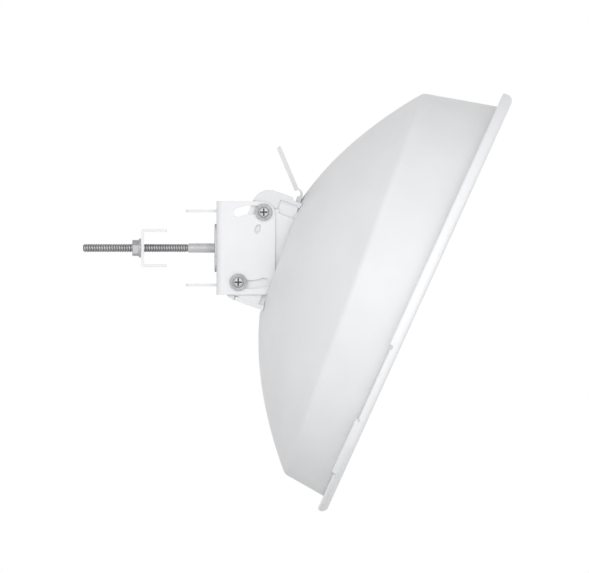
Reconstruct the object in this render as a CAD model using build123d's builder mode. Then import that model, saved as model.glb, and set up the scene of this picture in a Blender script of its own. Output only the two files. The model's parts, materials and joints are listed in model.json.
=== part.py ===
"""Outdoor wireless bridge: a shrouded dish on a tilting bracket with a two-bolt pole clamp.

Frame: origin on the pole's axis at the height of the clamp bolts, +X towards the dish, +Z up. Millimetres.
Everything that tilts is drawn in its own frame, with x forward along the dish's axis, z up across it and
the origin on the tilt centre, and is then turned nose-down into place.
"""

import os
from math import cos, radians, sin, sqrt, tan

from build123d import *

os.makedirs("parts", exist_ok=True)

# ---------------------------------------------------------------- driving dimensions
POLE_RADIUS = 20.0
STEEL = 2.5  # sheet of the fixed bracket

# clamp bolts, in pairs at plus and minus BOLT_Y
BOLT_Y = 29.0
BOLT_TIP_X = -85.4
THREAD_END_X = 20.0
THREAD_RADIUS = 4.0
SHANK_RADIUS = 4.7
NECK = 9.8
HEAD_RADIUS = 9.0
HEAD_DOME = 4.5

# fixed bracket: a channel open towards the dish
BRACKET_BACK_X = 48.7
BRACKET_FRONT_X = 107.8
BRACKET_HALF_WIDTH = 45.0
BRACKET_HALF_HEIGHT = 47.0
BRACKET_BEND = 6.0
BRACKET_CORNER = 13.0
RETAINER_THICK = 2.0
RETAINER_HALF_HEIGHT = 24.2

# tabs bent out of the bracket's back, which seat against the pole
TAB_Z = 37.2
TAB_TIP_X = 18.0
TAB_HALF_WIDTH = 32.0
BAND_HALF_HEIGHT = 10.0

# loose jaw
JAW_STEEL = 2.9
JAW_BACK_X = -27.0
JAW_TIP_X = -1.2
JAW_HALF_HEIGHT = 19.1
JAW_HALF_WIDTH = 40.0
SEAT_ANGLE = 45.0
TEETH = 4
TOOTH = 1.5

# flange nuts
NUT_FLATS = 14.2
NUT_HEX = 6.4
NUT_FLANGE = 2.4
NUT_FLANGE_RADIUS = 9.8
NUT_GAP = 0.2
NUT_REST = 42.0  # how far round the hexagons stand at rest

# tilt
PIVOT_X = 83.4
PIVOT_Z = 0.8
TILT = 20.0  # nose-down at rest, and the reach of the slots each way
SLOT_SPARE = 0.7
SCREW_CIRCLE = 37.5
SLOT_WIDTH = 8.7
SHOULDER_RADIUS = 4.05
MARK_RADIUS = 19.5
WASHER_RADIUS = 8.6
SCREW_HEAD_RADIUS = 5.4

# tilt bracket
LEG_OUTER_Y = 42.2
LEG_STEEL = 2.2
SHELL_TOP = 53.0
LEG_TOP = 44.7  # low enough to stay behind the bracket's cheeks at rest
LEG_BOTTOM = -51.0
LEG_NECK = 40.0  # half height of the part that enters the dish's hub
LEG_NECK_X = 27.0
SKIRT_X = 11.5  # the cover's side skirts reach this far forward
LEG_NOTCH_X = 14.4  # from here forward the upper edge is lower, and the housing shows
LEG_NOTCH_Z = 41.6
HUB_SCREW = 32.0

# dish: a paraboloid, its back surface measured forward from the tilt centre
AXIS_RISE = 1.0
VERTEX = 23.4
FOCAL = 120.0
SKIN = 1.5
HUB_RADIUS = 61.0
HUB_FLOOR = 37.0
SEAM_RADIUS = 193.0
DISH_RADIUS = 199.0
JOGGLE = 1.7

# shroud: a cone cut on a slant
SHROUD_RADIUS = 203.5
SHROUD_FLARE = 9.84
CREASE = 9.0

# rim ring, in a plane that leans forward at the top
RIM_LEAN = 4.4
RIM_REACH = 178.6
RIM_RISE = 16.8
RIM_RADIUS = 229.5
RIM_BORE = 207.0
RIM_SKIN = 2.6
RIM_THICK = 9.1
RIM_RIB = 2.5
RIM_GROOVE = 217.4
RIM_ROUND = 6.5
RIM_EDGE = 2.5
RIM_STEPS = (12.7, 34.8, 56.1)  # degrees below the ring's level diameter
NOTCH = 4.5

# rear housing
HOUSING_BACK = -14.3
HOUSING_FRONT = 30.8
HOUSING_TOP = 61.5
HOUSING_STEP = 58.6
HOUSING_STEP_X = 22.5
HOUSING_BOTTOM = -55.8
REAR_TOP_ROUND = 18.0
REAR_BOTTOM_ROUND = 15.8
HUB_LIP = 60.4
HUB_LIP_X = 36.7
HUB_GAP = 0.35
HOUSING_HALF_WIDTH = 39.7
CAVITY_HALF_WIDTH = 34.5
CAVITY_TOP = 48.0
CAVITY_BOTTOM = -46.0
MOUTH_X = 26.3
MOUTH_STEP = 2.0

# feed
TUBE_RADIUS = 24.0
TUBE_WALL = 2.5
TUBE_END = 134.0
CAP_RADIUS = 45.0
CAP_WALL = 2.5
CAP_BACK = 128.0
CAP_FRONT = 165.0

# lock lever, drawn closed with its hinge at the origin
HINGE_X = 28.6
HINGE_Z = 62.6
LEVER_HALF_WIDTH = 19.7
LEVER_LENGTH = 47.5
LEVER_THICK = 4.3
LEVER_OPEN = 47.0
PIN_RADIUS = 1.2

# Ethernet port in the housing's floor, and its door
BOARD_X = 6.0
BOARD_THICK = 1.6
JACK_DEPTH = 13.6
JACK_HALF_WIDTH = 8.0
JACK_HEIGHT = 17.0
PLUG_HALF_WIDTH = 6.0
PLUG_DEPTH = 8.6
PLUG_REACH = 13.5
BUTTON_Y = 18.0
DOOR_PIN_X = 4.5
DOOR_PIN_Z = -53.5
DOOR_KNUCKLE = 2.2
DOOR_WALL = 2.0


def nose_down(degrees, origin):
    """A frame turned nose-down about Y, with its origin at the given point."""
    c, s = cos(radians(degrees)), sin(radians(degrees))
    return Plane(origin=origin, x_dir=(c, 0, -s), z_dir=(s, 0, c))


TILT_FRAME = nose_down(TILT, (PIVOT_X, 0, PIVOT_Z))
LEVER_FRAME = nose_down(TILT + LEVER_OPEN, TILT_FRAME.from_local_coords((HINGE_X, 0, HINGE_Z)))
DISH_AXIS = Axis((0, 0, AXIS_RISE), (1, 0, 0))
lean_cos, lean_sin = cos(radians(RIM_LEAN)), sin(radians(RIM_LEAN))
RIM_CENTRE = (RIM_REACH * lean_cos + RIM_RISE * lean_sin, 0, RIM_RISE * lean_cos - RIM_REACH * lean_sin)
RIM_FRAME = Plane(origin=RIM_CENTRE, x_dir=(0, 1, 0), z_dir=(lean_cos, 0, -lean_sin))
SIDE = Plane.XZ  # side elevation, x forward and y up


def write(part, label, place=None):
    """Labels a finished piece and writes its STEP, moved out of its own frame where one is given."""
    shape = part.part if place is None else place.location * part.part
    shape.label = label
    export_step(shape, f"parts/{label}.step")


def depth_at(radius):
    """How far forward the paraboloid's back surface lies at a radius."""
    return VERTEX + radius**2 / (4 * FOCAL)


def dish_point(radius, forward=0.0):
    """A point of the paraboloid's profile in the side elevation, moved forward where asked."""
    return (depth_at(radius) + forward, AXIS_RISE + radius)


def dish_curve(start, end, forward=0.0):
    """Points along the paraboloid's profile from one radius to another."""
    return [dish_point(start + (end - start) * i / 10, forward) for i in range(11)]


def shroud_point(x, inward=0.0):
    """A point of the shroud's profile in the side elevation."""
    rise = (x - depth_at(SHROUD_RADIUS)) * tan(radians(SHROUD_FLARE))
    return (x, AXIS_RISE + SHROUD_RADIUS + rise - inward)


def block(x, y, z):
    """The centre and the sizes of the box that spans three ranges."""
    spans = (x, y, z)
    return Location([sum(s) / 2 for s in spans]), [s[1] - s[0] for s in spans]


# ================================================================ fixed side: bracket and bolts
bracket_length = BRACKET_FRONT_X - BRACKET_BACK_X
bracket_middle = (BRACKET_FRONT_X + BRACKET_BACK_X) / 2
tab_top = TAB_Z + STEEL / 2
with BuildPart() as mount_bracket:
    with BuildSketch(Plane.XY.offset(-BRACKET_HALF_HEIGHT)):
        with Locations((bracket_middle, 0)):
            Rectangle(bracket_length, 2 * BRACKET_HALF_WIDTH)
        fillet(vertices().group_by(Axis.X)[0], BRACKET_BEND)
    extrude(amount=2 * BRACKET_HALF_HEIGHT)
    with BuildSketch(Plane.XY.offset(-BRACKET_HALF_HEIGHT)):
        with Locations((bracket_middle + STEEL, 0)):
            Rectangle(bracket_length, 2 * (BRACKET_HALF_WIDTH - STEEL))
        fillet(vertices().group_by(Axis.X)[0], BRACKET_BEND - STEEL)
    extrude(amount=2 * BRACKET_HALF_HEIGHT, mode=Mode.SUBTRACT)
    with BuildSketch(SIDE):
        with Locations((bracket_middle, 0)):
            Rectangle(bracket_length, 2 * BRACKET_HALF_HEIGHT)
        fillet(vertices().group_by(Axis.X)[-1], BRACKET_CORNER)
    extrude(amount=BRACKET_HALF_WIDTH, both=True, mode=Mode.INTERSECT)
    # two curved slots in each cheek, about the tilt centre
    for middle in (90, 270):
        with BuildSketch(SIDE):
            reach = TILT + SLOT_SPARE
            with BuildLine(mode=Mode.PRIVATE) as path:
                CenterArc((PIVOT_X, PIVOT_Z), SCREW_CIRCLE, middle - reach, 2 * reach)
            SlotArc(path.edges()[0], SLOT_WIDTH)
        extrude(amount=BRACKET_HALF_WIDTH, both=True, mode=Mode.SUBTRACT)
    # small oval window over the tilt mark
    with BuildSketch(SIDE):
        mark_x = PIVOT_X + MARK_RADIUS * sin(radians(TILT))
        mark_z = PIVOT_Z + MARK_RADIUS * cos(radians(TILT))
        with Locations(Location((mark_x, mark_z, 0), (0, 0, -TILT))):
            Ellipse(2.8, 4.6)
    extrude(amount=BRACKET_HALF_WIDTH, both=True, mode=Mode.SUBTRACT)
    # the metal of each tab comes out of a window in the back
    window = tab_top - STEEL - BAND_HALF_HEIGHT
    for side in (-1, 1):
        with Locations((BRACKET_BACK_X + STEEL / 2, 0, side * (BAND_HALF_HEIGHT + window / 2))):
            Box(STEEL, 2 * TAB_HALF_WIDTH + 1, window, mode=Mode.SUBTRACT)
        with BuildSketch(Plane.XY.offset(side * TAB_Z - STEEL / 2)):
            with Locations(((TAB_TIP_X + BRACKET_BACK_X + STEEL) / 2, 0)):
                Rectangle(BRACKET_BACK_X + STEEL - TAB_TIP_X, 2 * TAB_HALF_WIDTH)
            fillet(vertices().group_by(Axis.X)[0], 3)
            Circle(POLE_RADIUS, mode=Mode.SUBTRACT)
        extrude(amount=STEEL)
    # square holes for the bolts' necks
    with BuildSketch(Plane.YZ.offset(BRACKET_BACK_X)):
        with Locations((BOLT_Y, 0), (-BOLT_Y, 0)):
            Rectangle(NECK + 0.4, NECK + 0.4)
    extrude(amount=STEEL, mode=Mode.SUBTRACT)
write(mount_bracket, "mount_bracket")

with BuildPart() as bolt_retainer:
    with BuildSketch(Plane.YZ.offset(BRACKET_BACK_X)):
        RectangleRounded(2 * JAW_HALF_WIDTH, 2 * RETAINER_HALF_HEIGHT, 8)
        with Locations((BOLT_Y, 0), (-BOLT_Y, 0)):
            Circle(SHANK_RADIUS + 0.1, mode=Mode.SUBTRACT)
    extrude(amount=-RETAINER_THICK)
    fillet(faces().sort_by(Axis.X)[0].outer_wire().edges(), 1.5)
write(bolt_retainer, "bolt_retainer")

with BuildPart() as carriage_bolts:
    seat_x = BRACKET_BACK_X + STEEL
    dome_radius = (HEAD_RADIUS**2 + (HEAD_DOME - 0.8) ** 2) / (2 * (HEAD_DOME - 0.8))
    dome_centre = seat_x + HEAD_DOME - dome_radius
    for side in (-BOLT_Y, BOLT_Y):
        with BuildSketch(Plane.XY):
            with BuildLine():
                Polyline(
                    (seat_x + HEAD_DOME, side),
                    (BOLT_TIP_X, side),
                    (BOLT_TIP_X, side + THREAD_RADIUS - 1),
                    (BOLT_TIP_X + 1, side + THREAD_RADIUS),
                    (THREAD_END_X, side + THREAD_RADIUS),
                    (THREAD_END_X + 1, side + SHANK_RADIUS),
                    (BRACKET_BACK_X, side + SHANK_RADIUS),
                    (seat_x, side + SHANK_RADIUS),
                    (seat_x, side + HEAD_RADIUS),
                    (seat_x + 0.8, side + HEAD_RADIUS),
                )
                ThreePointArc(
                    (seat_x + 0.8, side + HEAD_RADIUS),
                    (dome_centre + sqrt(dome_radius**2 - HEAD_RADIUS**2 / 4), side + HEAD_RADIUS / 2),
                    (seat_x + HEAD_DOME, side),
                )
            make_face()
        revolve(axis=Axis((0, side, 0), (1, 0, 0)))
        with BuildSketch(Plane.YZ.offset(BRACKET_BACK_X)):
            with Locations((side, 0)):
                Rectangle(NECK, NECK)
        extrude(amount=STEEL)
write(carriage_bolts, "carriage_bolts")

# ================================================================ loose jaw and its nuts
with BuildPart() as clamp_jaw:
    jaw_depth = JAW_TIP_X - JAW_BACK_X
    with BuildSketch(SIDE):
        with Locations((JAW_BACK_X + jaw_depth / 2, 0)):
            Rectangle(jaw_depth, 2 * JAW_HALF_HEIGHT)
        fillet(vertices().group_by(Axis.X)[0], 2.5)
    extrude(amount=JAW_HALF_WIDTH, both=True)
    hollow, sizes = block(
        (JAW_BACK_X + JAW_STEEL, JAW_TIP_X),
        (-JAW_HALF_WIDTH, JAW_HALF_WIDTH),
        (JAW_STEEL - JAW_HALF_HEIGHT, JAW_HALF_HEIGHT - JAW_STEEL),
    )
    with Locations(hollow):
        Box(*sizes, mode=Mode.SUBTRACT)
    # plan of the flanges: a radiused V with toothed flanks
    seat = POLE_RADIUS * cos(radians(SEAT_ANGLE))
    mouth = JAW_TIP_X + 1
    with BuildSketch(Plane.XY.offset(-JAW_HALF_HEIGHT)):
        with BuildLine():
            ThreePointArc((-seat, seat), (-POLE_RADIUS, 0), (-seat, -seat))
            Polyline((-seat, -seat), (mouth, -2 * seat - mouth), (mouth, 2 * seat + mouth), (-seat, seat))
        make_face()
        pitch = (JAW_TIP_X + seat) / (TEETH + 0.5)
        for side in (-1, 1):
            for i in range(TEETH):
                along = (i + 0.9) * pitch
                with Locations((along - seat, side * (along + seat))):
                    Rectangle(TOOTH, TOOTH)
    extrude(amount=2 * JAW_HALF_HEIGHT, mode=Mode.SUBTRACT)
    with BuildSketch(Plane.YZ.offset(JAW_BACK_X)):
        with Locations((BOLT_Y, 0), (-BOLT_Y, 0)):
            Circle(SHANK_RADIUS + 0.3)
    extrude(amount=JAW_STEEL, mode=Mode.SUBTRACT)
write(clamp_jaw, "clamp_jaw")

for name, side in (("near", -BOLT_Y), ("far", BOLT_Y)):
    with BuildPart() as clamp_nut:
        nut_face = JAW_BACK_X - NUT_GAP
        with BuildSketch(Plane.YZ.offset(nut_face)):
            with Locations((side, 0)):
                Circle(NUT_FLANGE_RADIUS)
        extrude(amount=-NUT_FLANGE, taper=20)
        with BuildSketch(Plane.YZ.offset(nut_face - NUT_FLANGE)):
            with Locations((side, 0)):
                RegularPolygon(NUT_FLATS / 2, 6, major_radius=False, rotation=NUT_REST)
        extrude(amount=-NUT_HEX)
        chamfer(faces().sort_by(Axis.X)[0].edges(), 0.6)
        with BuildSketch(Plane.YZ.offset(nut_face)):
            with Locations((side, 0)):
                Circle(THREAD_RADIUS + 0.3)
        extrude(amount=-NUT_FLANGE - NUT_HEX, mode=Mode.SUBTRACT)
    write(clamp_nut, f"clamp_nut_{name}")

# ================================================================ tilting side: bracket and screws
# outline that the bracket's cheeks and the housing share, with its two rear corners rounded
with BuildSketch(SIDE) as rear_outline:
    with Locations(((HOUSING_BACK + HUB_FLOOR) / 2, (HOUSING_TOP + HOUSING_BOTTOM) / 2)):
        Rectangle(HUB_FLOOR - HOUSING_BACK, HOUSING_TOP - HOUSING_BOTTOM)
    fillet(vertices().group_by(Axis.X)[0].sort_by(Axis.Y)[-1], REAR_TOP_ROUND)
    fillet(vertices().group_by(Axis.X)[0].sort_by(Axis.Y)[0], REAR_BOTTOM_ROUND)

with BuildPart() as tilt_bracket:
    with BuildSketch(SIDE):
        with BuildLine():
            Polyline(
                (HUB_FLOOR, LEG_NOTCH_Z),
                (LEG_NOTCH_X, LEG_NOTCH_Z),
                (LEG_NOTCH_X, LEG_TOP),
                (HOUSING_BACK, LEG_TOP),
                (HOUSING_BACK, LEG_BOTTOM),
                (LEG_NECK_X, LEG_BOTTOM),
                (LEG_NECK_X, -LEG_NECK),
                (HUB_FLOOR, -LEG_NECK),
                (HUB_FLOOR, LEG_NOTCH_Z),
            )
        make_face()
    extrude(amount=LEG_OUTER_Y, both=True)
    extrude(rear_outline.sketch, amount=LEG_OUTER_Y, both=True, mode=Mode.INTERSECT)
    leg_inner = LEG_OUTER_Y - LEG_STEEL
    nest, sizes = block(
        (HOUSING_BACK - 1, HUB_FLOOR - LEG_STEEL), (-leg_inner, leg_inner), (LEG_BOTTOM - 1, LEG_TOP + 1)
    )
    with Locations(nest):
        Box(*sizes, mode=Mode.SUBTRACT)
    fillet(edges().filter_by(Axis.Z).group_by(Axis.X)[-1], 3)
    with BuildSketch(Plane.YZ.offset(HUB_FLOOR)):
        with Locations((0, AXIS_RISE)):
            Circle(TUBE_RADIUS + 0.3)
        with GridLocations(2 * HUB_SCREW, 2 * HUB_SCREW, 2, 2):
            Circle(2.5)
    extrude(amount=-LEG_STEEL, mode=Mode.SUBTRACT)
    with BuildSketch(SIDE):
        with Locations((0, SCREW_CIRCLE), (0, -SCREW_CIRCLE)):
            Circle(3.0)
    extrude(amount=LEG_OUTER_Y, both=True, mode=Mode.SUBTRACT)
write(tilt_bracket, "tilt_bracket", TILT_FRAME)

washer_y = BRACKET_HALF_WIDTH + 0.3
washer_thick = 1.5
head_y = washer_y + washer_thick
with BuildPart() as tilt_screws:
    for z in (-SCREW_CIRCLE, SCREW_CIRCLE):
        for side in (-1, 1):
            with BuildSketch(Plane.YZ):
                with BuildLine():
                    Polyline(
                        (side * 38.4, z),
                        (side * 38.4, z + 3),
                        (side * LEG_OUTER_Y, z + 3),
                        (side * LEG_OUTER_Y, z + SHOULDER_RADIUS),
                        (side * washer_y, z + SHOULDER_RADIUS),
                        (side * washer_y, z + 3),
                        (side * head_y, z + 3),
                        (side * head_y, z + SCREW_HEAD_RADIUS),
                        (side * (head_y + 1.6), z + SCREW_HEAD_RADIUS),
                        (side * (head_y + 3.2), z + SCREW_HEAD_RADIUS - 1.2),
                        (side * (head_y + 3.8), z),
                        (side * 38.4, z),
                    )
                make_face()
            revolve(axis=Axis((0, 0, z), (0, 1, 0)))
    for side in (-1, 1):
        with BuildSketch(SIDE.offset(side * (head_y + 3.8))):
            with Locations((0, SCREW_CIRCLE), (0, -SCREW_CIRCLE)):
                Rectangle(7.6, 1.5, rotation=TILT)
                Rectangle(1.5, 7.6, rotation=TILT)
        extrude(amount=-side * 2.4, mode=Mode.SUBTRACT)
write(tilt_screws, "tilt_screws", TILT_FRAME)

with BuildPart() as tilt_washers:
    for side in (-1, 1):
        with BuildSketch(SIDE.offset(side * washer_y)):
            with Locations((0, SCREW_CIRCLE), (0, -SCREW_CIRCLE)):
                Circle(WASHER_RADIUS)
                Circle(3.05, mode=Mode.SUBTRACT)
        extrude(amount=side * washer_thick)
write(tilt_washers, "tilt_washers", TILT_FRAME)

with BuildPart() as clinch_nuts:
    for side in (-1, 1):
        with BuildSketch(SIDE.offset(side * leg_inner)):
            with Locations((0, SCREW_CIRCLE), (0, -SCREW_CIRCLE)):
                RegularPolygon(5, 6, major_radius=False)
                Circle(3.02, mode=Mode.SUBTRACT)
        extrude(amount=-side * 2.2)
write(clinch_nuts, "clinch_nuts", TILT_FRAME)

with BuildPart() as hub_screws:
    floor_front = HUB_FLOOR + SKIN
    for y in (-HUB_SCREW, HUB_SCREW):
        for z in (-HUB_SCREW, HUB_SCREW):
            with BuildSketch(Plane.XY.offset(z)):
                with BuildLine():
                    Polyline(
                        (HUB_FLOOR - 4.5, y),
                        (HUB_FLOOR - 4.5, y + 2.4),
                        (floor_front, y + 2.4),
                        (floor_front, y + 4.6),
                        (floor_front + 1.6, y + 4.6),
                        (floor_front + 2.8, y + 3.2),
                        (floor_front + 2.8, y),
                        (HUB_FLOOR - 4.5, y),
                    )
                make_face()
            revolve(axis=Axis((0, y, z), (1, 0, 0)))
    with BuildSketch(Plane.YZ.offset(floor_front + 2.8)):
        with GridLocations(2 * HUB_SCREW, 2 * HUB_SCREW, 2, 2):
            Rectangle(4.4, 1)
            Rectangle(1, 4.4)
    extrude(amount=-1.6, mode=Mode.SUBTRACT)
write(hub_screws, "hub_screws", TILT_FRAME)

# ================================================================ dish, shroud and rim
with BuildPart() as reflector:
    with BuildSketch(SIDE):
        with BuildLine():
            back = Spline(*dish_curve(HUB_RADIUS, SEAM_RADIUS))
            front = Spline(*dish_curve(HUB_RADIUS + SKIN, SEAM_RADIUS - 2, SKIN))
            Polyline(
                back @ 1,
                dish_point(SEAM_RADIUS, JOGGLE),
                dish_point(DISH_RADIUS, JOGGLE),
                dish_point(DISH_RADIUS, JOGGLE + SKIN),
                dish_point(SEAM_RADIUS, JOGGLE + SKIN),
                front @ 1,
            )
            Polyline(
                front @ 0,
                (floor_front, AXIS_RISE + HUB_RADIUS + SKIN),
                (floor_front, AXIS_RISE + TUBE_RADIUS + 0.3),
                (HUB_FLOOR, AXIS_RISE + TUBE_RADIUS + 0.3),
                (HUB_FLOOR, AXIS_RISE + HUB_RADIUS),
                back @ 0,
            )
        make_face()
    revolve(axis=DISH_AXIS)
    with BuildSketch(Plane.YZ.offset(HUB_FLOOR)):
        with GridLocations(2 * HUB_SCREW, 2 * HUB_SCREW, 2, 2):
            Circle(2.6)
    extrude(amount=SKIN, mode=Mode.SUBTRACT)
write(reflector, "reflector", TILT_FRAME)

with BuildPart() as shroud:
    shroud_end = RIM_CENTRE[0] + 40
    inner_corner = depth_at(SHROUD_RADIUS - SKIN) + SKIN
    with BuildSketch(SIDE):
        with BuildLine():
            Polyline(
                dish_point(SEAM_RADIUS + 0.1),
                dish_point(SHROUD_RADIUS),
                shroud_point(shroud_end),
                shroud_point(shroud_end, SKIN),
                shroud_point(inner_corner, SKIN),
                dish_point(SEAM_RADIUS + 0.1, SKIN),
                dish_point(SEAM_RADIUS + 0.1),
            )
        make_face()
        by_depth = vertices().sort_by(Axis.X)
        fillet(by_depth[2], CREASE)
    revolve(axis=DISH_AXIS)
    with BuildSketch(RIM_FRAME.offset(-RIM_SKIN - 0.2)):
        Circle(400)
    extrude(amount=300, mode=Mode.SUBTRACT)
write(shroud, "shroud", TILT_FRAME)

rim_axis = Axis(RIM_CENTRE, (lean_cos, 0, -lean_sin))


def rim_profile_plane(angle):
    """The plane through the ring's axis at an angle: x forward and y outward."""
    c, s = cos(radians(angle)), sin(radians(angle))
    return Plane(origin=RIM_CENTRE, x_dir=(lean_cos, 0, -lean_sin), z_dir=(c * lean_sin, -s, c * lean_cos))


with BuildPart() as rim_ring:
    wall = RIM_RADIUS - RIM_SKIN
    with BuildSketch(rim_profile_plane(90)):
        with BuildLine():
            Polyline(
                (0, RIM_BORE),
                (0, RIM_RADIUS),
                (-RIM_THICK, RIM_RADIUS),
                (-RIM_THICK, RIM_GROOVE),
                (RIM_SKIN - RIM_THICK, RIM_GROOVE),
                (RIM_SKIN - RIM_THICK, wall),
                (-RIM_SKIN, wall),
                (-RIM_SKIN, RIM_BORE + RIM_SKIN),
                (-RIM_THICK, RIM_BORE + RIM_SKIN),
                (-RIM_THICK, RIM_BORE),
                (0, RIM_BORE),
            )
        make_face()
        outside = vertices().group_by(Axis.Y)[-1].sort_by(Axis.X)
        fillet(outside[-1], RIM_ROUND)
        fillet(vertices().group_by(Axis.Y)[-1].sort_by(Axis.X)[0], RIM_EDGE)
        hollow_corner = vertices().filter_by(lambda v: abs(v.X + RIM_SKIN) < 0.01).sort_by(Axis.Y)[-1]
        fillet(hollow_corner, RIM_ROUND - RIM_SKIN - 0.4)
    revolve(axis=rim_axis)
    # the rear rib stops over the sides and the bottom, and is notched at each end
    for start, end in (
        (-RIM_STEPS[0], 180 + RIM_STEPS[0]),
        (-RIM_STEPS[2], -RIM_STEPS[1]),
        (180 + RIM_STEPS[1], 180 + RIM_STEPS[2]),
    ):
        with BuildSketch(rim_profile_plane(start)):
            with Locations((-RIM_ROUND - 0.1, wall - 2)):
                Rectangle(RIM_THICK + RIM_RIB - RIM_ROUND - 0.1, RIM_SKIN + 2, align=(Align.MAX, Align.MIN))
            fillet(vertices().group_by(Axis.Y)[-1].sort_by(Axis.X)[0], RIM_EDGE)
        revolve(axis=rim_axis, revolution_arc=end - start)
    with BuildSketch(RIM_FRAME.offset(-RIM_THICK - RIM_RIB)):
        steps = [-angle for angle in RIM_STEPS]
        for angle in steps + [-180 - angle for angle in steps]:
            spot = ((RIM_RADIUS - 1) * cos(radians(angle)), (RIM_RADIUS - 1) * sin(radians(angle)), 0)
            with Locations(Location(spot, (0, 0, angle))):
                Rectangle(2 * NOTCH, NOTCH)
    extrude(amount=NOTCH, mode=Mode.SUBTRACT)
write(rim_ring, "rim_ring", TILT_FRAME)

# ================================================================ rear housing
# room that the dish's back takes up, with its hub recess; the housing's front edges are cut back to it
with BuildPart() as dish_room:
    with BuildSketch(SIDE):
        with BuildLine():
            skin_line = Spline(*dish_curve(HUB_LIP, 110, -HUB_GAP))
            Polyline(
                skin_line @ 0,
                (HUB_LIP_X, AXIS_RISE + HUB_LIP),
                (HUB_LIP_X, AXIS_RISE),
                (90, AXIS_RISE),
                (90, AXIS_RISE + 110),
                skin_line @ 1,
            )
        make_face()
    revolve(axis=DISH_AXIS)

door_top = LEG_BOTTOM - 0.3
with BuildPart() as housing_shell:
    with BuildSketch(SIDE):
        with BuildLine():
            Polyline(
                (HOUSING_FRONT, SHELL_TOP),
                (HOUSING_BACK, SHELL_TOP),
                (HOUSING_BACK, HOUSING_BOTTOM),
                (DOOR_PIN_X - DOOR_KNUCKLE - 0.6, HOUSING_BOTTOM),
                (DOOR_PIN_X - DOOR_KNUCKLE - 0.6, LEG_BOTTOM),
                (HOUSING_FRONT, LEG_BOTTOM),
                (HOUSING_FRONT, SHELL_TOP),
            )
        make_face()
    extrude(amount=HOUSING_HALF_WIDTH, both=True)
    extrude(rear_outline.sketch, amount=HOUSING_HALF_WIDTH, both=True, mode=Mode.INTERSECT)
    cavity, sizes = block(
        (HOUSING_BACK + 3.2, HOUSING_FRONT),
        (-CAVITY_HALF_WIDTH, CAVITY_HALF_WIDTH),
        (CAVITY_BOTTOM, CAVITY_TOP),
    )
    with Locations(cavity):
        Box(*sizes, mode=Mode.SUBTRACT)
    # wider mouth, whose step holds the gasket and the front plate
    mouth_box, sizes = block(
        (MOUTH_X, HOUSING_FRONT),
        (-CAVITY_HALF_WIDTH - MOUTH_STEP, CAVITY_HALF_WIDTH + MOUTH_STEP),
        (CAVITY_BOTTOM - MOUTH_STEP, CAVITY_TOP + MOUTH_STEP),
    )
    with Locations(mouth_box):
        Box(*sizes, mode=Mode.SUBTRACT)
    # pockets for the bracket's nuts
    for side in (-1, 1):
        with BuildSketch(SIDE.offset(side * HOUSING_HALF_WIDTH)):
            with Locations((0, SCREW_CIRCLE), (0, -SCREW_CIRCLE)):
                Circle(6.2)
        extrude(amount=-side * 2.3, mode=Mode.SUBTRACT)
    # the earth screw's blind hole
    with BuildSketch(Plane.YZ.offset(HOUSING_BACK)):
        Circle(2.02)
    extrude(amount=3.1, mode=Mode.SUBTRACT)
    # floor: the jack's window, the button's and the light's holes, and the door's two ears
    jack_front = BOARD_X + BOARD_THICK + JACK_DEPTH
    jack_mid = jack_front - 2 - PLUG_DEPTH / 2
    with BuildSketch(Plane.XY.offset(LEG_BOTTOM)):
        with Locations((jack_mid, 0)):
            Rectangle(PLUG_DEPTH + 1.2, 2 * PLUG_HALF_WIDTH + 1.2)
        with Locations((jack_mid, BUTTON_Y)):
            Circle(2.1)
        with Locations((jack_mid, -BUTTON_Y)):
            Circle(1.6)
    extrude(amount=CAVITY_BOTTOM - LEG_BOTTOM, mode=Mode.SUBTRACT)
    # skirt that meets the dish's back below, clear of the door's swing
    skirt_top = CAVITY_BOTTOM - MOUTH_STEP - 0.2
    skirt_back = HOUSING_FRONT + 0.3
    skirt, sizes = block((skirt_back, HUB_FLOOR), (-LEG_OUTER_Y, LEG_OUTER_Y), (HOUSING_BOTTOM, skirt_top))
    with Locations(skirt):
        Box(*sizes)
    bridge, sizes = block(
        (HOUSING_FRONT - 1, skirt_back), (-HOUSING_HALF_WIDTH, HOUSING_HALF_WIDTH), (LEG_BOTTOM, skirt_top)
    )
    with Locations(bridge):
        Box(*sizes)
    add(dish_room.part, mode=Mode.SUBTRACT)
    for side in (-1, 1):
        ear, sizes = block(
            (DOOR_PIN_X - DOOR_KNUCKLE - 1, DOOR_PIN_X + 2),
            (side * 34, side * 38),
            (DOOR_PIN_Z - 2, LEG_BOTTOM + 1),
        )
        with Locations(ear):
            Box(sizes[0], abs(sizes[1]), sizes[2])
    with BuildSketch(SIDE):
        with Locations((DOOR_PIN_X, DOOR_PIN_Z)):
            Circle(1.0)
    extrude(amount=HOUSING_HALF_WIDTH, both=True, mode=Mode.SUBTRACT)
write(housing_shell, "housing_shell", TILT_FRAME)

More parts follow.
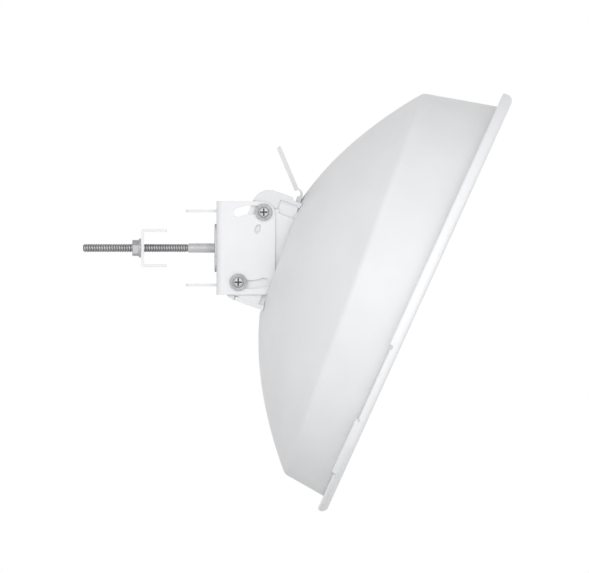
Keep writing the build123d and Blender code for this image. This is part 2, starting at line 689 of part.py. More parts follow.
with BuildPart() as housing_cover:
    cover_bottom = SHELL_TOP + 0.3
    with BuildSketch(SIDE):
        with BuildLine():
            Polyline(
                (HOUSING_FRONT, cover_bottom),
                (HOUSING_FRONT, HOUSING_STEP),
                (HOUSING_STEP_X + 2, HOUSING_STEP),
                (HOUSING_STEP_X, HOUSING_TOP),
                (HOUSING_BACK, HOUSING_TOP),
                (HOUSING_BACK, cover_bottom),
                (HOUSING_FRONT, cover_bottom),
            )
        make_face()
    extrude(amount=LEG_OUTER_Y, both=True)
    # skirts over the bracket's legs
    for side in (-1, 1):
        skirt, sizes = block(
            (HOUSING_BACK, SKIRT_X), (HOUSING_HALF_WIDTH + 0.3, LEG_OUTER_Y), (LEG_TOP + 0.3, cover_bottom + 1)
        )
        with Locations(Location((skirt.position.X, side * skirt.position.Y, skirt.position.Z))):
            Box(*sizes)
    extrude(rear_outline.sketch, amount=LEG_OUTER_Y, both=True, mode=Mode.INTERSECT)
    # front edge that meets the dish's back
    collar, sizes = block((HOUSING_FRONT, HUB_FLOOR), (-LEG_OUTER_Y, LEG_OUTER_Y), (cover_bottom, HOUSING_STEP))
    with Locations(collar):
        Box(*sizes)
    add(dish_room.part, mode=Mode.SUBTRACT)
    # shadow groove under both long edges
    for side in (-1, 1):
        groove, sizes = block(
            (11.8, HOUSING_FRONT), (LEG_OUTER_Y - 1.5, LEG_OUTER_Y), (cover_bottom, cover_bottom + 1.7)
        )
        with Locations(Location((groove.position.X, side * groove.position.Y, groove.position.Z))):
            Box(*sizes, mode=Mode.SUBTRACT)
    # ears that hold the lever's pin
    for side in (-1, 1):
        with BuildSketch(SIDE.offset(-side * (LEVER_HALF_WIDTH + 0.3))):
            with Locations((HINGE_X, HINGE_Z)):
                Circle(2.6)
            with Locations((HINGE_X, (HINGE_Z + HOUSING_STEP) / 2)):
                Rectangle(4.4, HINGE_Z - HOUSING_STEP + 0.4)
        extrude(amount=-side * 4)
    with BuildSketch(SIDE):
        with Locations((HINGE_X, HINGE_Z)):
            Circle(PIN_RADIUS)
    extrude(amount=LEVER_HALF_WIDTH + 3, both=True, mode=Mode.SUBTRACT)
write(housing_cover, "housing_cover", TILT_FRAME)

with BuildPart() as lever_pin:
    with BuildSketch(SIDE):
        with Locations((HINGE_X, HINGE_Z)):
            Circle(PIN_RADIUS)
    extrude(amount=LEVER_HALF_WIDTH + 3, both=True)
write(lever_pin, "lever_pin", TILT_FRAME)

with BuildPart() as lock_lever:
    strip_bottom = HOUSING_TOP + 0.15 - HINGE_Z
    strip_front = -8.5
    with BuildSketch(SIDE):
        with Locations((strip_front - LEVER_LENGTH / 2, strip_bottom + LEVER_THICK / 2)):
            Rectangle(LEVER_LENGTH, LEVER_THICK)
        fillet(vertices().group_by(Axis.X)[0], 1.6)
        Circle(2.4)
        with BuildLine():
            ThreePointArc((1.0, 2.2), (-3.6, 5.4), (-9.6, 3.4))
            Line((-9.6, 3.4), (-9.6, 1.4))
            ThreePointArc((-9.6, 1.4), (-4.0, 3.2), (-1.2, 1.0))
            Line((-1.2, 1.0), (1.0, 2.2))
        make_face()
        Circle(PIN_RADIUS + 0.06, mode=Mode.SUBTRACT)
    extrude(amount=LEVER_HALF_WIDTH, both=True)
    with BuildSketch(Plane.XY.offset(-10)):
        with Locations((-LEVER_LENGTH / 2 - 4, 0)):
            Rectangle(LEVER_LENGTH + 20, 2 * LEVER_HALF_WIDTH)
        fillet(vertices().group_by(Axis.X)[0], 6)
    extrude(amount=30, mode=Mode.INTERSECT)
write(lock_lever, "lock_lever", LEVER_FRAME)

with BuildPart() as housing_front:
    inset = 0.2
    plate, sizes = block(
        (MOUTH_X + 1.5, HOUSING_FRONT - 0.2),
        (inset - CAVITY_HALF_WIDTH - MOUTH_STEP, CAVITY_HALF_WIDTH + MOUTH_STEP - inset),
        (CAVITY_BOTTOM - MOUTH_STEP + inset, CAVITY_TOP + MOUTH_STEP - inset),
    )
    with Locations(plate):
        Box(*sizes)
    # collar that carries the feed tube
    with BuildSketch(Plane.YZ.offset(HOUSING_FRONT - 0.2)):
        with Locations((0, AXIS_RISE)):
            Circle(TUBE_RADIUS - TUBE_WALL - 0.05)
    extrude(amount=18)
    with BuildSketch(Plane.YZ.offset(MOUTH_X)):
        with Locations((0, AXIS_RISE)):
            Circle(TUBE_RADIUS - TUBE_WALL - 3)
    extrude(amount=30, mode=Mode.SUBTRACT)
write(housing_front, "housing_front", TILT_FRAME)

with BuildPart() as housing_gasket:
    with BuildSketch(Plane.YZ.offset(MOUTH_X)):
        middle_z = (CAVITY_TOP + CAVITY_BOTTOM) / 2
        height = CAVITY_TOP - CAVITY_BOTTOM
        with Locations((0, middle_z)):
            Rectangle(2 * (CAVITY_HALF_WIDTH + MOUTH_STEP - inset), height + 2 * (MOUTH_STEP - inset))
            Rectangle(2 * CAVITY_HALF_WIDTH, height, mode=Mode.SUBTRACT)
    extrude(amount=1.5)
write(housing_gasket, "housing_gasket", TILT_FRAME)

with BuildPart() as circuit_board:
    board, sizes = block(
        (BOARD_X, BOARD_X + BOARD_THICK), (-32, 32), (CAVITY_BOTTOM + 0.3, CAVITY_TOP - 2)
    )
    with Locations(board):
        Box(*sizes)
write(circuit_board, "circuit_board", TILT_FRAME)

with BuildPart() as rf_shield:
    can, sizes = block((BOARD_X + BOARD_THICK, BOARD_X + BOARD_THICK + 5), (-24, 24), (-22, 30))
    with Locations(can):
        Box(*sizes)
    fillet(edges().filter_by(Axis.X), 2)
    offset(amount=-0.4, openings=faces().sort_by(Axis.X)[0], kind=Kind.INTERSECTION)
write(rf_shield, "rf_shield", TILT_FRAME)

with BuildPart() as heat_spreader:
    slab, sizes = block((BOARD_X - 5, BOARD_X), (-24, 24), (-22, 30))
    with Locations(slab):
        Box(*sizes)
    with BuildSketch(Plane.YZ.offset(BOARD_X - 5)):
        with Locations((0, 4)):
            with GridLocations(6, 1, 8, 1):
                Rectangle(3, 53)
    extrude(amount=3, mode=Mode.SUBTRACT)
write(heat_spreader, "heat_spreader", TILT_FRAME)

with BuildPart() as ethernet_jack:
    jack, sizes = block(
        (BOARD_X + BOARD_THICK, jack_front),
        (-JACK_HALF_WIDTH, JACK_HALF_WIDTH),
        (CAVITY_BOTTOM, CAVITY_BOTTOM + JACK_HEIGHT),
    )
    with Locations(jack):
        Box(*sizes)
    with BuildSketch(Plane.XY.offset(CAVITY_BOTTOM)):
        with Locations((jack_mid, 0)):
            Rectangle(PLUG_DEPTH, 2 * PLUG_HALF_WIDTH)
    extrude(amount=PLUG_REACH, mode=Mode.SUBTRACT)
write(ethernet_jack, "ethernet_jack", TILT_FRAME)

with BuildPart() as reset_button:
    with BuildSketch(Plane.XY.offset(LEG_BOTTOM + 0.6)):
        with Locations((jack_mid, BUTTON_Y)):
            Circle(1.8)
    extrude(amount=7)
    with BuildSketch(Plane.XY.offset(CAVITY_BOTTOM + 0.3)):
        with Locations((jack_mid, BUTTON_Y)):
            Circle(3.0)
    extrude(amount=1.2)
write(reset_button, "reset_button", TILT_FRAME)

with BuildPart() as light_pipe:
    with BuildSketch(Plane.XY.offset(LEG_BOTTOM + 0.2)):
        with Locations((jack_mid, -BUTTON_Y)):
            Circle(1.6)
    extrude(amount=9)
write(light_pipe, "light_pipe", TILT_FRAME)

with BuildPart() as ground_screw:
    with BuildSketch(Plane.XY):
        with BuildLine():
            Polyline(
                (HOUSING_BACK + 3, 0),
                (HOUSING_BACK + 3, 2),
                (HOUSING_BACK, 2),
                (HOUSING_BACK, 4),
                (HOUSING_BACK - 1.6, 4),
                (HOUSING_BACK - 2.6, 2.6),
                (HOUSING_BACK - 2.6, 0),
                (HOUSING_BACK + 3, 0),
            )
        make_face()
    revolve(axis=Axis((0, 0, 0), (1, 0, 0)))
    with BuildSketch(Plane.YZ.offset(HOUSING_BACK - 2.6)):
        Rectangle(4, 0.9)
        Rectangle(0.9, 4)
    extrude(amount=1.4, mode=Mode.SUBTRACT)
write(ground_screw, "ground_screw", TILT_FRAME)

# ================================================================ port door
with BuildPart() as port_door:
    door_front = HOUSING_FRONT - 0.1
    with BuildSketch(SIDE):
        with Locations((DOOR_PIN_X, DOOR_PIN_Z)):
            Circle(DOOR_KNUCKLE)
        with Locations(((DOOR_PIN_X + door_front) / 2, (HOUSING_BOTTOM + door_top) / 2)):
            Rectangle(door_front - DOOR_PIN_X, door_top - HOUSING_BOTTOM)
    extrude(amount=LEG_OUTER_Y, both=True)
    tray, sizes = block(
        (DOOR_PIN_X + DOOR_KNUCKLE + 1, door_front - DOOR_WALL),
        (DOOR_WALL - LEG_OUTER_Y, LEG_OUTER_Y - DOOR_WALL),
        (HOUSING_BOTTOM + DOOR_WALL, door_top),
    )
    with Locations(tray):
        Box(*sizes, mode=Mode.SUBTRACT)
    for side in (-1, 1):
        with Locations((DOOR_PIN_X - 0.5, side * 36, DOOR_PIN_Z)):
            Box(8, 4.6, 6, mode=Mode.SUBTRACT)
    with BuildSketch(SIDE):
        with Locations((DOOR_PIN_X, DOOR_PIN_Z)):
            Circle(1.06)
    extrude(amount=HOUSING_HALF_WIDTH + 0.2, both=True, mode=Mode.SUBTRACT)
write(port_door, "port_door", TILT_FRAME)

with BuildPart() as door_pin:
    with BuildSketch(SIDE):
        with Locations((DOOR_PIN_X, DOOR_PIN_Z)):
            Circle(1.0)
    extrude(amount=HOUSING_HALF_WIDTH, both=True)
write(door_pin, "door_pin", TILT_FRAME)

# ================================================================ feed
with BuildPart() as feed_tube:
    with BuildSketch(Plane.YZ.offset(HOUSING_FRONT)):
        with Locations((0, AXIS_RISE)):
            Circle(TUBE_RADIUS)
            Circle(TUBE_RADIUS - TUBE_WALL, mode=Mode.SUBTRACT)
    extrude(amount=TUBE_END - HOUSING_FRONT)
write(feed_tube, "feed_tube", TILT_FRAME)

with BuildPart() as hub_gasket:
    with BuildSketch(Plane.YZ.offset(floor_front)):
        with Locations((0, AXIS_RISE)):
            Circle(TUBE_RADIUS + 5)
            Circle(TUBE_RADIUS, mode=Mode.SUBTRACT)
    extrude(amount=2)
    fillet(faces().sort_by(Axis.X)[-1].outer_wire().edges(), 1)
write(hub_gasket, "hub_gasket", TILT_FRAME)

with BuildPart() as feed_base:
    with BuildSketch(Plane.YZ.offset(CAP_BACK)):
        with Locations((0, AXIS_RISE)):
            Circle(CAP_RADIUS - CAP_WALL)
            Circle(TUBE_RADIUS, mode=Mode.SUBTRACT)
    extrude(amount=3)
write(feed_base, "feed_base", TILT_FRAME)

with BuildPart() as feed_board:
    with BuildSketch(Plane.YZ.offset(TUBE_END + 4)):
        with Locations((0, AXIS_RISE)):
            Circle(36)
            Circle(3, mode=Mode.SUBTRACT)
    extrude(amount=BOARD_THICK)
write(feed_board, "feed_board", TILT_FRAME)

with BuildPart() as sub_reflector:
    with BuildSketch(Plane.YZ.offset(TUBE_END + 14)):
        with Locations((0, AXIS_RISE)):
            Circle(40)
    extrude(amount=1.5)
write(sub_reflector, "sub_reflector", TILT_FRAME)

with BuildPart() as feed_posts:
    with BuildSketch(Plane.YZ.offset(CAP_BACK + 3)):
        with Locations((0, AXIS_RISE)):
            with PolarLocations(31, 4, start_angle=45):
                Circle(2.5)
    extrude(amount=TUBE_END + 4 - CAP_BACK - 3)
    with BuildSketch(Plane.YZ.offset(TUBE_END + 4 + BOARD_THICK)):
        with Locations((0, AXIS_RISE)):
            with PolarLocations(31, 4, start_angle=45):
                Circle(2.5)
    extrude(amount=10 - BOARD_THICK)
write(feed_posts, "feed_posts", TILT_FRAME)

with BuildPart() as feed_coax:
    coax_x = BOARD_X + BOARD_THICK + 5.2
    with BuildSketch(Plane.YZ.offset(coax_x)):
        with Locations((0, AXIS_RISE)):
            Circle(1.8)
    extrude(amount=TUBE_END + 4 - coax_x)
write(feed_coax, "feed_coax", TILT_FRAME)

with BuildPart() as feed_cap:
    with BuildSketch(Plane.YZ.offset(CAP_BACK)):
        with Locations((0, AXIS_RISE)):
            Circle(CAP_RADIUS)
    extrude(amount=CAP_FRONT - CAP_BACK)
    fillet(faces().sort_by(Axis.X)[-1].edges(), 8)
    offset(amount=-CAP_WALL, openings=faces().sort_by(Axis.X)[0])
write(feed_cap, "feed_cap", TILT_FRAME)
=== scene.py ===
"""Looks for the outdoor wireless bridge: materials, threaded bolts, camera and soft studio light."""

import json
from math import cos, pi, radians, sin, sqrt

import bmesh
import bpy
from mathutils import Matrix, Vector


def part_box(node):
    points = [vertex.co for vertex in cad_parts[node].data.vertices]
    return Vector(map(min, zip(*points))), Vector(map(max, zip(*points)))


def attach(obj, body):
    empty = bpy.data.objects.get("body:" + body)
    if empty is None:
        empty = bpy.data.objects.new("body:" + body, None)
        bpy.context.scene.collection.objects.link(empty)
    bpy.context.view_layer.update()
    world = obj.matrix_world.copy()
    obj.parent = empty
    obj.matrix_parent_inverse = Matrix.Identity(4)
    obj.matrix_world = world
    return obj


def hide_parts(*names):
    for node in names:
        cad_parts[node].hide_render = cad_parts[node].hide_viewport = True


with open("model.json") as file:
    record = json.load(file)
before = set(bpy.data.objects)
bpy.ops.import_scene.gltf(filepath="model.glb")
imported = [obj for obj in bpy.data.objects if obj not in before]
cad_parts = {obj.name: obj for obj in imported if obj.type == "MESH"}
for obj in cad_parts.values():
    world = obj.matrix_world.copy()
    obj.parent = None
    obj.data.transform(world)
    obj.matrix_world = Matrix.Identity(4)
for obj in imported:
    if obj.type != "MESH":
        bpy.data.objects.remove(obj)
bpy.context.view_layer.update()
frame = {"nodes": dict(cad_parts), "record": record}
nodes = frame["nodes"]

MM = 0.001


# ---------------------------------------------------------------- materials
class Shader:
    """A Principled material with a few helpers for wiring procedural detail into it."""

    def __init__(self, name, roughness=0.5, metallic=0.0, **sockets):
        self.material = bpy.data.materials.new(name)
        self.material.use_nodes = True
        self.tree = self.material.node_tree
        self.shader = self.tree.nodes["Principled BSDF"]
        self.shader.inputs["Roughness"].default_value = roughness
        self.shader.inputs["Metallic"].default_value = metallic
        for socket, value in sockets.items():
            self.shader.inputs[socket.replace("_", " ")].default_value = value
        self.coords = self.add("ShaderNodeTexCoord").outputs["Object"]
        self.height = None

    def add(self, kind, **inputs):
        """A new node, with its inputs set by name."""
        node = self.tree.nodes.new(kind)
        for socket, value in inputs.items():
            node.inputs[socket.replace("_", " ")].default_value = value
        return node

    def link(self, source, target):
        self.tree.links.new(source, target)

    def noise(self, scale, detail=3.0, roughness=0.55, stretch=None):
        """A noise value, stretched along the axes where asked."""
        node = self.add("ShaderNodeTexNoise", Scale=scale, Detail=detail, Roughness=roughness)
        source = self.coords
        if stretch:
            mapping = self.add("ShaderNodeMapping", Scale=stretch)
            self.link(self.coords, mapping.inputs["Vector"])
            source = mapping.outputs["Vector"]
        self.link(source, node.inputs["Vector"])
        return node.outputs["Fac"]

    def cells(self, scale):
        """Distance to the nearest of many small cells."""
        node = self.add("ShaderNodeTexVoronoi", Scale=scale)
        self.link(self.coords, node.inputs["Vector"])
        return node.outputs["Distance"]

    def spread(self, value, low, high, start=0.3, end=0.7):
        """A value remapped onto the range from low to high."""
        node = self.add("ShaderNodeMapRange", From_Min=start, From_Max=end, To_Min=low, To_Max=high)
        self.link(value, node.inputs["Value"])
        return node.outputs["Result"]

    def colour(self, value, *stops):
        """Colour from a ramp of (position, colour) stops, lowest first."""
        ramp = self.add("ShaderNodeValToRGB")
        elements = ramp.color_ramp.elements
        for element, (place, tone) in zip(elements, (stops[0], stops[-1])):
            element.position = place
            element.color = (*tone, 1)
        for place, tone in stops[1:-1]:
            elements.new(place).color = (*tone, 1)
        self.link(value, ramp.inputs["Fac"])
        self.link(ramp.outputs["Color"], self.shader.inputs["Base Color"])

    def rough(self, value, low, high):
        """Roughness that wanders between low and high."""
        self.link(self.spread(value, low, high), self.shader.inputs["Roughness"])

    def bump(self, value, depth_mm, strength=1.0, edge_mm=None):
        """Relief of a real depth, on top of any already there; edge_mm on the first one rounds the edges."""
        node = self.add("ShaderNodeBump", Strength=strength, Distance=depth_mm * MM)
        self.link(value, node.inputs["Height"])
        if self.height is not None:
            self.link(self.height, node.inputs["Normal"])
        elif edge_mm:
            bevel = self.add("ShaderNodeBevel", Radius=edge_mm * MM)
            bevel.samples = 4
            self.link(bevel.outputs["Normal"], node.inputs["Normal"])
        self.height = node.outputs["Normal"]
        self.link(self.height, self.shader.inputs["Normal"])


def shade(value):
    """A white of that lightness, very slightly cool."""
    return (value, value * 1.006, value * 1.02)


def powder_coat(name, value, edge_mm=0.7):
    """White powder coat on sheet metal: orange peel, faint mottling, and edges softened by edge_mm."""
    s = Shader(name, roughness=0.42, Specular_IOR_Level=0.45, Coat_Weight=0.12, Coat_Roughness=0.3)
    s.colour(s.noise(22, 4), (0.32, shade(value * 0.965)), (0.68, shade(value)))
    s.rough(s.noise(160, 3), 0.36, 0.5)
    s.bump(s.noise(650, 2), 0.05, 0.35, edge_mm=edge_mm)
    s.bump(s.noise(2600, 2), 0.012, 0.5)
    return s.material


def moulded(name, value, tint=(1.0, 1.0, 1.0)):
    """Moulded plastic, white unless tinted, with a fine spark-eroded grain."""
    s = Shader(name, roughness=0.45, Specular_IOR_Level=0.5)
    base = tuple(c * t for c, t in zip(shade(value), tint))
    s.colour(s.noise(14, 3), (0.3, tuple(c * 0.975 for c in base)), (0.7, base))
    s.rough(s.noise(240, 2), 0.38, 0.5)
    s.bump(s.cells(1900), 0.02, 0.35, edge_mm=0.6)
    s.bump(s.noise(60, 2), 0.03, 0.25)
    return s.material


def zinc(name, value, roughness):
    """Bright plated or bare metal: cloudy patches and fine drawn lines."""
    s = Shader(name, roughness=roughness, metallic=0.92)
    s.colour(
        s.noise(180, 5, 0.65),
        (0.3, (value * 0.82, value * 0.83, value * 0.85)),
        (0.55, (value, value, value * 1.02)),
        (0.75, (value * 1.1, value * 1.1, value * 1.13)),
    )
    s.rough(s.noise(420, 3), roughness - 0.07, roughness + 0.1)
    s.bump(s.noise(900, 3, stretch=(0.06, 1, 1)), 0.012, 0.3, edge_mm=0.3)
    return s.material


def rubber(name):
    """Matt black rubber."""
    s = Shader(name, roughness=0.75, Specular_IOR_Level=0.3)
    s.colour(s.noise(90, 3), (0.3, (0.018, 0.018, 0.02)), (0.7, (0.03, 0.03, 0.032)))
    s.rough(s.noise(300, 3), 0.65, 0.85)
    s.bump(s.noise(1500, 2), 0.03, 0.6, edge_mm=0.3)
    return s.material


def board(name):
    """Green solder mask over faint traces."""
    s = Shader(name, roughness=0.3, Coat_Weight=0.4, Coat_Roughness=0.15)
    traces = s.add("ShaderNodeTexBrick", Scale=160.0, Mortar_Size=0.03)
    traces.inputs["Color1"].default_value = (0.012, 0.10, 0.045, 1)
    traces.inputs["Color2"].default_value = (0.015, 0.12, 0.055, 1)
    traces.inputs["Mortar"].default_value = (0.03, 0.2, 0.09, 1)
    s.link(s.coords, traces.inputs["Vector"])
    s.link(traces.outputs["Color"], s.shader.inputs["Base Color"])
    s.rough(s.noise(300, 3), 0.24, 0.4)
    s.bump(traces.outputs["Fac"], 0.03, 0.5)
    return s.material


def black_plastic(name):
    """Black moulding with a fine grain."""
    s = Shader(name, roughness=0.45)
    s.colour(s.noise(120, 3), (0.3, (0.012, 0.012, 0.013)), (0.7, (0.02, 0.02, 0.022)))
    s.rough(s.noise(400, 2), 0.36, 0.52)
    s.bump(s.cells(2200), 0.015, 0.4, edge_mm=0.2)
    return s.material


def copper(name):
    """Drawn copper, a little cloudy."""
    s = Shader(name, roughness=0.3, metallic=1.0)
    s.colour(s.noise(200, 4), (0.3, (0.62, 0.34, 0.2)), (0.7, (0.74, 0.44, 0.28)))
    s.rough(s.noise(300, 2), 0.24, 0.38)
    s.bump(s.noise(1200, 2), 0.01, 0.4)
    return s.material


def clear(name):
    """Clear acrylic."""
    s = Shader(name, roughness=0.12, Transmission_Weight=0.85, IOR=1.49)
    s.colour(s.noise(200, 2), (0.3, (0.85, 0.9, 0.9)), (0.7, (0.92, 0.96, 0.96)))
    s.bump(s.noise(500, 2), 0.01, 0.3)
    return s.material


def recess_painted_shadow(name):
    """Painted shadow: a near-black colour standing in for the shade at the bottom of a screw's recess."""
    s = Shader(name, roughness=0.6, metallic=0.3)
    s.colour(s.noise(900, 3), (0.3, (0.045, 0.045, 0.048)), (0.7, (0.1, 0.1, 0.105)))
    s.rough(s.noise(500, 2), 0.5, 0.75)
    s.bump(s.noise(2000, 2), 0.02, 0.5)
    return s.material


def floor_paint(name):
    """Plain pale floor."""
    s = Shader(name, roughness=0.8)
    s.colour(s.noise(3, 3), (0.3, (0.82, 0.82, 0.82)), (0.7, (0.86, 0.86, 0.86)))
    return s.material


slot_finish = {
    "white_steel": powder_coat("steel_coat", 0.80),
    "white_dish": powder_coat("dish_coat", 0.80, edge_mm=None),
    "white_plastic": moulded("white_moulding", 0.78),
    "zinc": zinc("zinc_plate", 0.58, 0.4),
    "stainless": zinc("stainless", 0.58, 0.25),
    "tinned": zinc("tinned_steel", 0.66, 0.3),
    "aluminium": zinc("mill_aluminium", 0.72, 0.38),
    "copper": copper("copper_jacket"),
    "seal": rubber("seal_rubber"),
    "board": board("solder_mask"),
    "black_plastic": black_plastic("black_moulding"),
    "nylon": moulded("natural_nylon", 0.72, tint=(1.0, 0.99, 0.93)),
    "clear": clear("clear_pipe"),
}
node_finish = {
    "rim_ring": moulded("rim_moulding", 0.88),
    "lock_lever": moulded("lever_moulding", 0.7),
    "housing_cover": moulded("cover_moulding", 0.73),
    "tilt_screws": zinc("screw_zinc", 0.54, 0.5),
    "tilt_washers": zinc("washer_zinc", 0.36, 0.45),
}
for part in frame["record"]["subparts"]:
    materials = nodes[part["node"]].data.materials
    materials.clear()
    materials.append(node_finish.get(part["node"], slot_finish[part["material_slot"]]))


# ---------------------------------------------------------------- threaded carriage bolts
THREAD_PITCH = 2.5
THREAD_RADIUS = 4.0
THREAD_DEPTH = 0.6
THREAD_STEPS = 12  # rings along each turn
THREAD_END_X = 20.0
TIP_RADIUS = 2.7
RUNOUT_RADIUS = 3.3  # turned down at both ends of the thread
SHANK_RADIUS = 4.7
NECK_HALF = 4.9  # half the square neck's side
NECK_CORNER = 6.4
BRACKET_STEEL = 2.5  # the neck's depth, up to the head's seat
BOLT_HEAD_RADIUS = 9.0
BOLT_HEAD_EDGE = 0.8  # straight side under the dome
DOME_STEPS = 9
BOLT_SIDES = 48


def tube(name, rings, sides, material):
    """A closed solid along X through rings of (x, radius); a radius may be a function of angle and x."""
    points = []
    for x, radius in rings:
        for i in range(sides):
            angle = 2 * pi * i / sides
            r = radius(angle, x) if callable(radius) else radius
            points.append((x * MM, r * cos(angle) * MM, r * sin(angle) * MM))
    count = len(rings)
    faces = []
    for k in range(count - 1):
        for i in range(sides):
            j = (i + 1) % sides
            a, b = k * sides, (k + 1) * sides
            faces.append((a + i, a + j, b + j, b + i))
    faces.append(tuple(range(sides))[::-1])
    faces.append(tuple((count - 1) * sides + i for i in range(sides)))
    mesh = bpy.data.meshes.new(name)
    mesh.from_pydata(points, [], faces)
    mesh.update()
    mesh.materials.append(material)
    return mesh


def thread(angle, x):
    """Radius of the right-hand thread at an angle and a distance along the bolt."""
    phase = (x / THREAD_PITCH - angle / (2 * pi)) % 1.0
    flank = min(abs(phase - 0.5) * 2, 1.0)
    profile = min(max((flank - 0.15) / 0.35, 0.0), 1.0)
    return THREAD_RADIUS - THREAD_DEPTH * (1 - profile)


def neck(angle, x):
    """Radius of the square neck, with rounded corners, at an angle."""
    return min(NECK_HALF / max(abs(cos(angle)), abs(sin(angle))), NECK_CORNER)


def bolt_rings(tip_x, plate_x, head_x):
    """The bolt's rings from its tip, through thread, shank and square neck, to its domed head."""
    rings = [(tip_x, TIP_RADIUS), (tip_x + 0.9, RUNOUT_RADIUS)]
    x = tip_x + 1.0
    while x < THREAD_END_X - 1.2:
        rings.append((x, thread))
        x += THREAD_PITCH / THREAD_STEPS
    rings += [(THREAD_END_X - 1.0, RUNOUT_RADIUS), (THREAD_END_X, 3.6), (THREAD_END_X + 1.0, 4.68)]
    seat_x = plate_x + BRACKET_STEEL
    rings += [(plate_x - 0.05, SHANK_RADIUS), (plate_x, neck), (seat_x, neck), (seat_x + 0.01, 8.6)]
    dome_x = seat_x + BOLT_HEAD_EDGE
    rings += [(seat_x + 0.3, BOLT_HEAD_RADIUS), (dome_x, BOLT_HEAD_RADIUS)]
    for i in range(1, DOME_STEPS):
        angle = radians(90) * i / DOME_STEPS
        rings.append((dome_x + (head_x - dome_x) * sin(angle), BOLT_HEAD_RADIUS * cos(angle)))
    rings.append((head_x, 0.4))
    return rings


bolt_low, bolt_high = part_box("carriage_bolts")
tip_x = bolt_low.x / MM
bolt_y = (bolt_high.y - bolt_low.y) / 2 / MM - BOLT_HEAD_RADIUS
rings = bolt_rings(tip_x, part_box("bolt_retainer")[1].x / MM, bolt_high.x / MM)
bolt_mesh = tube("carriage_bolt", rings, BOLT_SIDES, zinc("bolt_zinc", 0.78, 0.36))
# painted shade: the threaded length uses darker copies of the bolt's zinc, darkest in the grooves, for the
# shade that falls in the thread
bolt_mesh.materials.append(zinc("thread_crest_painted_shade_zinc", 0.42, 0.42))
bolt_mesh.materials.append(zinc("thread_groove_painted_shade_zinc", 0.27, 0.5))
CREST, GROOVE = 1, 2  # material indices
# threaded faces get the painted-shade copies: darker on the crests, darkest in the grooves
for polygon in bolt_mesh.polygons:
    polygon.use_smooth = len(polygon.vertices) == 4
    centre = polygon.center / MM
    if tip_x < centre.x < THREAD_END_X:
        from_axis = sqrt(centre.y**2 + centre.z**2)
        in_groove = from_axis < THREAD_RADIUS - 0.5 * THREAD_DEPTH
        polygon.material_index = GROOVE if in_groove else CREST
for name, side in (("near", -1), ("far", 1)):
    bolt = bpy.data.objects.new(f"carriage_bolt_{name}", bolt_mesh)
    bpy.context.scene.collection.objects.link(bolt)
    bolt.location = (0, side * bolt_y * MM, 0)
    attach(bolt, "pole_mount")
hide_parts("carriage_bolts")


# ---------------------------------------------------------------- painted shadow in the recesses of the tilt screws
SCREW_HEAD_RADIUS = 5.4
CROSS_HALF = 3.75  # half the cross's length
CROSS_ARM = 0.72  # half an arm's width
LINER_THICK = 1.2
LINER_SINK = 0.9  # below the crown of the head


def cross(name, half, arm, thick, centres, faces_y, material):
    """Flat crosses seated in the heads of screws that lie along Y: one at each centre on each face."""
    outline = [(arm, half), (-arm, half), (-arm, arm), (-half, arm), (-half, -arm), (-arm, -arm)]
    outline += [(-x, -z) for x, z in outline]
    count = len(outline)
    points, faces = [], []
    for cx, cz in centres:
        for face_y in faces_y:
            first = len(points)
            for depth in (0.0, thick):
                y = face_y - depth * (1 if face_y > 0 else -1)
                for x, z in outline:
                    points.append(((cx + x) * MM, y * MM, (cz + z) * MM))
            front = tuple(first + i for i in range(count))
            back = tuple(first + count + i for i in range(count))
            faces += [front, back[::-1]]
            for i in range(count):
                j = (i + 1) % count
                faces.append((front[i], back[i], back[j], front[j]))
    mesh = bpy.data.meshes.new(name)
    mesh.from_pydata(points, [], faces)
    bm = bmesh.new()
    bm.from_mesh(mesh)
    bmesh.ops.recalc_face_normals(bm, faces=bm.faces)
    bm.to_mesh(mesh)
    bm.free()
    mesh.materials.append(material)
    piece = bpy.data.objects.new(name, mesh)
    bpy.context.scene.collection.objects.link(piece)
    return piece


screws_low, screws_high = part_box("tilt_screws")
middle = (screws_low + screws_high) / 2 / MM
reach_x = (screws_high.x - screws_low.x) / 2 / MM - SCREW_HEAD_RADIUS
reach_z = (screws_high.z - screws_low.z) / 2 / MM - SCREW_HEAD_RADIUS
centres = [(middle.x + reach_x, middle.z + reach_z), (middle.x - reach_x, middle.z - reach_z)]
face = screws_high.y / MM - LINER_SINK
painted_recess_shadow = recess_painted_shadow("recess_painted_shadow")
# painted shadow: a flat dark cross in each screw head, where the cross recess falls into shade
recesses = cross("tilt_screw_recess_shadows", CROSS_HALF, CROSS_ARM, LINER_THICK, centres, (-face, face), painted_recess_shadow)
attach(recesses, "tilt_unit")


# ---------------------------------------------------------------- stage, light and camera, in metres
FLOOR_HALF = 6
FLOOR_Z = -0.6
HORIZON_LIGHT = 0.94
OVERHEAD_LIGHT = 0.58
KEY_PLACE = (0.22, -2.4, -0.06)
KEY_TARGET = (0.15, 0, -0.05)
KEY_SIZE = (3.2, 3.2)
KEY_WATTS = 40
CAMERA_PLACE = (0.1271, -2.0, -0.0387)
VIEW_WIDTH = 0.592

floor_mesh = bpy.data.meshes.new("floor")
corners = [(-1, -1), (1, -1), (1, 1), (-1, 1)]
floor_mesh.from_pydata([(x * FLOOR_HALF, y * FLOOR_HALF, 0) for x, y in corners], [], [(0, 1, 2, 3)])
floor_mesh.materials.append(floor_paint("floor_paint"))
floor = bpy.data.objects.new("floor", floor_mesh)
floor.location = (0, 0, FLOOR_Z)
bpy.context.scene.collection.objects.link(floor)


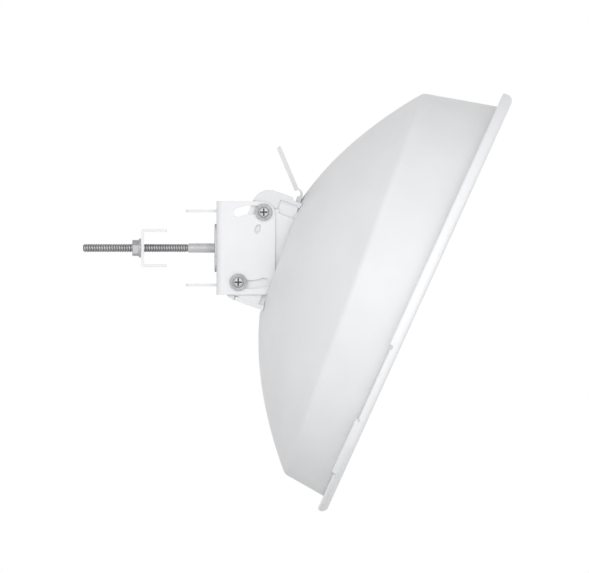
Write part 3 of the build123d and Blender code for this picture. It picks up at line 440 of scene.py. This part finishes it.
def daylight_dome(name):
    """A world that looks white to the camera, and lights the object a little less from overhead."""
    world = bpy.data.worlds.new(name)
    world.use_nodes = True
    sky = world.node_tree
    dome = sky.nodes["Background"]
    dome.inputs["Color"].default_value = (1, 1, 1, 1)
    backdrop = sky.nodes.new("ShaderNodeBackground")
    backdrop.inputs["Color"].default_value = (1, 1, 1, 1)
    direction = sky.nodes.new("ShaderNodeTexCoord")
    split = sky.nodes.new("ShaderNodeSeparateXYZ")
    overhead = sky.nodes.new("ShaderNodeMapRange")
    overhead.inputs["To Min"].default_value = HORIZON_LIGHT
    overhead.inputs["To Max"].default_value = OVERHEAD_LIGHT
    seen = sky.nodes.new("ShaderNodeLightPath")
    choice = sky.nodes.new("ShaderNodeMixShader")
    sky.links.new(direction.outputs["Generated"], split.inputs["Vector"])
    sky.links.new(split.outputs["Z"], overhead.inputs["Value"])
    sky.links.new(overhead.outputs["Result"], dome.inputs["Strength"])
    sky.links.new(seen.outputs["Is Camera Ray"], choice.inputs["Fac"])
    sky.links.new(dome.outputs["Background"], choice.inputs[1])
    sky.links.new(backdrop.outputs["Background"], choice.inputs[2])
    sky.links.new(choice.outputs["Shader"], sky.nodes["World Output"].inputs["Surface"])
    return world


def softbox(name, place, target, size, watts):
    """A rectangular area light at a place, turned towards a target."""
    light = bpy.data.lights.new(name, "AREA")
    light.shape = "RECTANGLE"
    light.size, light.size_y = size
    light.energy = watts
    lamp = bpy.data.objects.new(name, light)
    lamp.location = place
    lamp.rotation_euler = (Vector(target) - Vector(place)).to_track_quat("-Z", "Y").to_euler()
    bpy.context.scene.collection.objects.link(lamp)


bpy.context.scene.world = daylight_dome("studio")
softbox("key", KEY_PLACE, KEY_TARGET, KEY_SIZE, KEY_WATTS)

camera_data = bpy.data.cameras.new("camera")
camera_data.type = "ORTHO"
camera_data.ortho_scale = VIEW_WIDTH
camera = bpy.data.objects.new("camera", camera_data)
camera.location = CAMERA_PLACE
camera.rotation_euler = (radians(90), 0, 0)
bpy.context.scene.collection.objects.link(camera)
bpy.context.scene.camera = camera
bpy.context.scene.view_settings.view_transform = "Standard"
